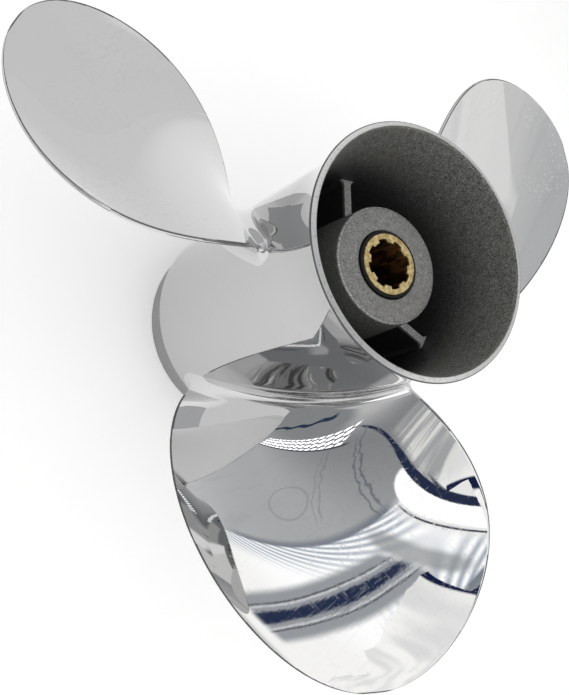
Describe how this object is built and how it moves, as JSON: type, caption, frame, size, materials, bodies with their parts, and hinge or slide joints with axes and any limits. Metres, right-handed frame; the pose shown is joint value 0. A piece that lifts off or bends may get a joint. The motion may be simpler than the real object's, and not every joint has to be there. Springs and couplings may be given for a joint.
{
  "type": "outboard motor propeller",
  "caption": "Right-handed boat propeller with the exhaust through its flared hub, polished steel blades, a rubber bush and a splined brass insert.",
  "frame": {"origin": "on the shaft axis at the centre of mass, 53.4 mm forward of the aft rim", "axes": "+Z aft along the shaft axis, towards the flared rim; +Y along the generator line of blade_3"},
  "size_m": [0.2107, 0.2, 0.1043],
  "materials": {
    "polished_steel": "mirror-polished cast stainless steel",
    "turned_steel": "turned, matt grey",
    "cast_steel": "as-cast, blasted dark grey",
    "rubber": "moulded black rubber",
    "brass": "machined brass, dull in the bore"
  },
  "bodies": {
    "root": {"outer_hub": "polished_steel", "forward_spigot": "turned_steel", "blade_1": "polished_steel", "blade_2": "polished_steel", "blade_3": "polished_steel", "inner_hub": "cast_steel", "rib_1": "cast_steel", "rib_2": "cast_steel", "rib_3": "cast_steel", "rubber_bush": "rubber", "splined_insert": "brass"}
  },
  "joints": []
}
